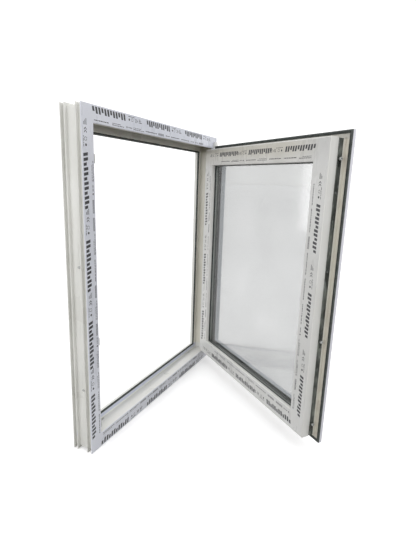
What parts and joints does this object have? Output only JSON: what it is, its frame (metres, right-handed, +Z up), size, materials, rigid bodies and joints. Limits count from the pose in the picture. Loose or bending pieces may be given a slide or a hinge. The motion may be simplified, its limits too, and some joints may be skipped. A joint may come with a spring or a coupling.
{
  "type": "casement window",
  "caption": "Side-hung double-glazed casement window of hollow white plastic profiles with a rebated outer frame, an inward-opening sash on pin hinges and a sliding-rod lock.",
  "frame": {"origin": "bottom centre of the outer frame in the plane of its room-side face", "axes": "+Z up, +X towards the hinge jamb, +Y towards the outside of the house; at rest the sash stands 51 degrees open into the room"},
  "size_m": [0.85, 0.698, 1],
  "materials": {
    "frame_profile": "smooth white extruded plastic, covered by protective film on the room-side face",
    "sash_profile": "smooth white extruded plastic, covered by protective film on the outside face",
    "glazing_bead": "smooth white extruded plastic",
    "cover_cap": "moulded white plastic",
    "steel_bar": "galvanised",
    "gasket": "matt dark grey extruded rubber",
    "glass": "clear float glass",
    "spacer": "mill finish with a row of vents",
    "edge_seal": "black sealant",
    "packer": "moulded plastic",
    "lock_metal": "dark grey-green coated steel, satin",
    "zinc_fitting": "zinc plated, satin",
    "hinge_metal": "white coated steel",
    "screw": "zinc plated",
    "frame_film": "thin bluish white protective film",
    "sash_film": "thin neutral white protective film",
    "film_print": null
  },
  "bodies": {
    "frame": {"frame_head": "frame_profile", "frame_sill": "frame_profile", "frame_jamb_lock": "frame_profile", "frame_jamb_hinge": "frame_profile", "frame_steel_head": "steel_bar", "frame_steel_sill": "steel_bar", "frame_steel_jamb_lock": "steel_bar", "frame_steel_jamb_hinge": "steel_bar", "frame_gasket": "gasket", "drain_cap_left": "cover_cap", "drain_cap_right": "cover_cap", "keep_top": "zinc_fitting", "keep_middle": "zinc_fitting", "keep_bottom": "zinc_fitting", "steel_screw_1": "screw", "steel_screw_2": "screw", "hinge_bearing_bottom": "hinge_metal", "hinge_bearing_top": "hinge_metal", "hinge_pin_bottom": "screw", "hinge_pin_top": "screw", "hinge_cover_bottom": "cover_cap", "hinge_cover_top": "cover_cap"},
    "sash": {"sash_top_rail": "sash_profile", "sash_bottom_rail": "sash_profile", "sash_lock_stile": "sash_profile", "sash_hinge_stile": "sash_profile", "sash_steel_top_rail": "steel_bar", "sash_steel_bottom_rail": "steel_bar", "sash_steel_lock_stile": "steel_bar", "sash_steel_hinge_stile": "steel_bar", "bead_top_rail": "glazing_bead", "bead_bottom_rail": "glazing_bead", "bead_lock_stile": "glazing_bead", "bead_hinge_stile": "glazing_bead", "sash_gasket": "gasket", "glazing_gasket": "gasket", "bead_gasket": "gasket", "pane_inner": "glass", "pane_outer": "glass", "spacer_bar": "spacer", "edge_seal": "edge_seal", "packer_bottom_hinge": "packer", "packer_bottom_lock": "packer", "packer_top_lock": "packer", "packer_hinge_stile": "packer", "hinge_arm_bottom": "hinge_metal", "hinge_arm_top": "hinge_metal", "faceplate_lower": "lock_metal", "faceplate_upper": "lock_metal", "faceplate_screw_1": "screw", "faceplate_screw_2": "screw", "faceplate_screw_3": "screw", "gear_case": "zinc_fitting"},
    "rod": {"drive_rod": "lock_metal", "cam_top": "zinc_fitting", "cam_middle": "zinc_fitting", "cam_bottom": "zinc_fitting"},
    "spindle": {"spindle_gear": "zinc_fitting"}
  },
  "joints": [
    {"name": "sash_turn", "type": "hinge", "parent": "frame", "child": "sash", "pos_m": [0.398, -0.008, 0], "axis": [0, 0, 1], "range_deg": [-51, 49]},
    {"name": "rod_slide", "type": "slide", "parent": "sash", "child": "rod", "axis": [0, 0, 1], "range_m": [-0.018, 0]},
    {"name": "spindle_turn", "type": "hinge", "parent": "sash", "child": "spindle", "pos_m": [-0.09156, -0.57553, 0.5], "axis": [-0.7771, 0.6293, 0], "range_deg": [-90, 0]}
  ],
  "couplings": [
    {"joint": "spindle_turn", "follows": "rod_slide", "rad_per_m": 87.266}
  ]
}
